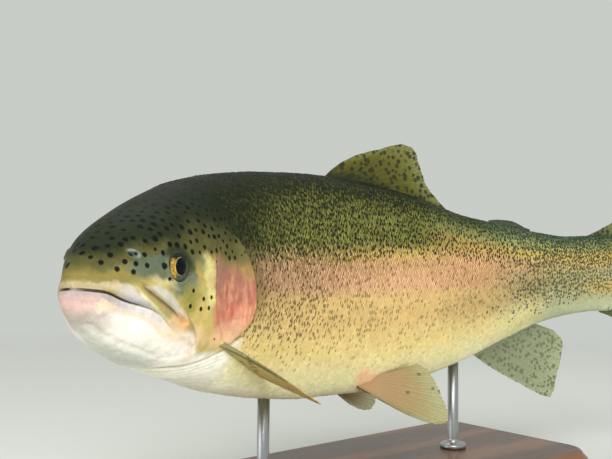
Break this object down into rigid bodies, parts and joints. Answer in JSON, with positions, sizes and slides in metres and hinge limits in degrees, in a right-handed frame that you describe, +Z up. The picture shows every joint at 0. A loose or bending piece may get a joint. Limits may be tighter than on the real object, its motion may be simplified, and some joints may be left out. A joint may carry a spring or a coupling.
{
  "type": "rainbow trout model on a stand",
  "caption": "Life-size still model of a rainbow trout in a swimming curve, head turned aside, held by steel rods on a flat wooden base.",
  "frame": {"origin": "under the middle of the model, on the floor under the stand", "axes": "+X from the snout end to the tail end along the fish, +Y to the fish's right-hand side, +Z up"},
  "size_m": [0.6039, 0.17, 0.2722],
  "materials": {
    "skin_head": "dark olive skin with small round spots, wet gloss",
    "skin_cheek": "rose and gold gill cover, wet gloss",
    "skin_pale": "pale pink-white skin of the jaws and throat, wet gloss",
    "skin_flank": "olive back, rose band and cream belly under fine scales, wet gloss",
    "fin_olive": "olive fin skin over rays, rows of dark spots, satin",
    "fin_ochre": "ochre to rose fin skin over rays, satin",
    "eye": "black pupil in a gold and dark iris under a clear cornea",
    "stand_wood": "dark oiled walnut, satin",
    "stand_steel": "brushed steel rod with a turned foot"
  },
  "bodies": {
    "root": {"head": "skin_head", "lower_jaw": "skin_pale", "throat": "skin_pale", "upper_jaw_left": "skin_pale", "upper_jaw_right": "skin_pale", "gill_cover_left": "skin_cheek", "gill_cover_right": "skin_cheek", "eye_left": "eye", "eye_right": "eye", "trunk": "skin_flank", "tail_stem": "skin_flank", "dorsal_fin": "fin_olive", "adipose_fin": "fin_olive", "anal_fin": "fin_olive", "tail_fin": "fin_olive", "pectoral_fin_left": "fin_ochre", "pectoral_fin_right": "fin_ochre", "pelvic_fin_left": "fin_ochre", "pelvic_fin_right": "fin_ochre", "stand_base": "stand_wood", "stand_rod_front": "stand_steel", "stand_rod_rear": "stand_steel"}
  },
  "joints": []
}
